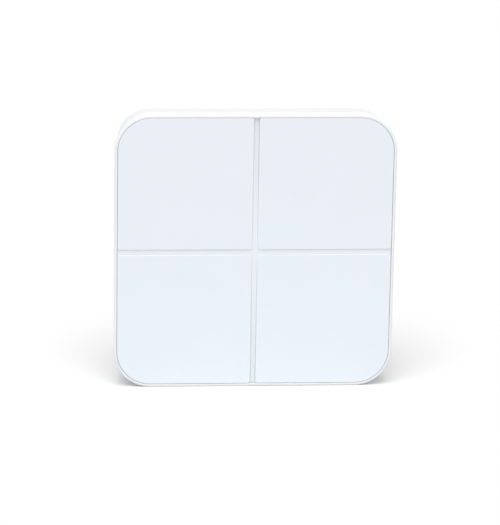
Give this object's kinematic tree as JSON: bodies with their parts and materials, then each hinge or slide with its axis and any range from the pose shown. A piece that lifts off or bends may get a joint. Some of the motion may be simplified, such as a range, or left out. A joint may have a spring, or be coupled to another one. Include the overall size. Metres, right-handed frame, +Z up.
{
  "type": "wall button",
  "caption": "Square battery-powered wall button with rounded corners: rocking keys parted by a recessed cross, inside a thin rim, on a tapered housing held by magnets on a wall plate.",
  "frame": {"origin": "middle of the wall plate's back face, which lies on the wall", "axes": "+X right and +Z up as the button is used, +Y into the wall, so the keys face -Y"},
  "size_m": [0.0748, 0.014, 0.0748],
  "materials": {
    "frame_plastic": "fine satin moulding",
    "housing_plastic": "fine matt moulding",
    "key_plastic": "smooth satin, cool white",
    "switch_plastic": "moulded black",
    "board_laminate": "green solder mask",
    "sheet_steel": "tinned sheet",
    "led_resin": "clear resin over a white base",
    "cell_steel": "nickel-plated case",
    "spring_brass": "plated spring strip",
    "button_plastic": "light grey moulding",
    "magnet_plating": "nickel plating",
    "screw_steel": "zinc-plated",
    "plate_plastic": "fine matt moulding",
    "strike_steel": "zinc-plated sheet",
    "tape_foam": "foam mounting tape"
  },
  "bodies": {
    "wall_mount": {"wall_plate": "plate_plastic", "strike_plates": "strike_steel", "adhesive_pads": "tape_foam"},
    "unit": {"front_frame": "frame_plastic", "rear_housing": "housing_plastic", "circuit_board": "board_laminate", "switch_bases": "switch_plastic", "switch_covers": "sheet_steel", "radio_carrier": "board_laminate", "radio_shield": "sheet_steel", "board_chips": "switch_plastic", "indicator_led": "led_resin", "coin_cell": "cell_steel", "contact_plus": "spring_brass", "contact_minus": "spring_brass", "pairing_switch": "switch_plastic", "magnets": "magnet_plating", "housing_screws": "screw_steel"},
    "key_upper_left": {"key_upper_left": "key_plastic"},
    "key_upper_right": {"key_upper_right": "key_plastic"},
    "key_lower_left": {"key_lower_left": "key_plastic"},
    "key_lower_right": {"key_lower_right": "key_plastic"},
    "plunger_upper_left": {"plunger_upper_left": "switch_plastic"},
    "plunger_upper_right": {"plunger_upper_right": "switch_plastic"},
    "plunger_lower_left": {"plunger_lower_left": "switch_plastic"},
    "plunger_lower_right": {"plunger_lower_right": "switch_plastic"},
    "battery_door": {"battery_door": "housing_plastic"},
    "pairing_button": {"pairing_button": "button_plastic"}
  },
  "joints": [
    {"name": "unit_pull_off", "type": "slide", "parent": "wall_mount", "child": "unit", "axis": [0, -1, 0], "range_m": [0, 0.02]},
    {"name": "press_upper_left", "type": "hinge", "parent": "unit", "child": "key_upper_left", "pos_m": [0, -0.0106, 0.00285], "axis": [-1, 0, 0], "range_deg": [0, 0.6], "stiffness_Nm_per_rad": 3},
    {"name": "press_upper_right", "type": "hinge", "parent": "unit", "child": "key_upper_right", "pos_m": [0, -0.0106, 0.00285], "axis": [-1, 0, 0], "range_deg": [0, 0.6], "stiffness_Nm_per_rad": 3},
    {"name": "press_lower_left", "type": "hinge", "parent": "unit", "child": "key_lower_left", "pos_m": [0, -0.0106, -0.00285], "axis": [1, 0, 0], "range_deg": [0, 0.6], "stiffness_Nm_per_rad": 3},
    {"name": "press_lower_right", "type": "hinge", "parent": "unit", "child": "key_lower_right", "pos_m": [0, -0.0106, -0.00285], "axis": [1, 0, 0], "range_deg": [0, 0.6], "stiffness_Nm_per_rad": 3},
    {"name": "plunge_upper_left", "type": "slide", "parent": "unit", "child": "plunger_upper_left", "axis": [0, 1, 0], "range_m": [0, 0.000252]},
    {"name": "plunge_upper_right", "type": "slide", "parent": "unit", "child": "plunger_upper_right", "axis": [0, 1, 0], "range_m": [0, 0.000252]},
    {"name": "plunge_lower_left", "type": "slide", "parent": "unit", "child": "plunger_lower_left", "axis": [0, 1, 0], "range_m": [0, 0.000252]},
    {"name": "plunge_lower_right", "type": "slide", "parent": "unit", "child": "plunger_lower_right", "axis": [0, 1, 0], "range_m": [0, 0.000252]},
    {"name": "battery_door_turn", "type": "hinge", "parent": "unit", "child": "battery_door", "pos_m": [0, 0, 0], "axis": [0, 1, 0], "range_deg": [0, 45]},
    {"name": "pairing_press", "type": "slide", "parent": "unit", "child": "pairing_button", "axis": [0, -1, 0], "range_m": [0, 0.0003], "stiffness_N_per_m": 2500}
  ],
  "couplings": [
    {"joint": "plunge_upper_left", "follows": "press_upper_left", "m_per_rad": 0.024},
    {"joint": "plunge_upper_right", "follows": "press_upper_right", "m_per_rad": 0.024},
    {"joint": "plunge_lower_left", "follows": "press_lower_left", "m_per_rad": 0.024},
    {"joint": "plunge_lower_right", "follows": "press_lower_right", "m_per_rad": 0.024}
  ]
}
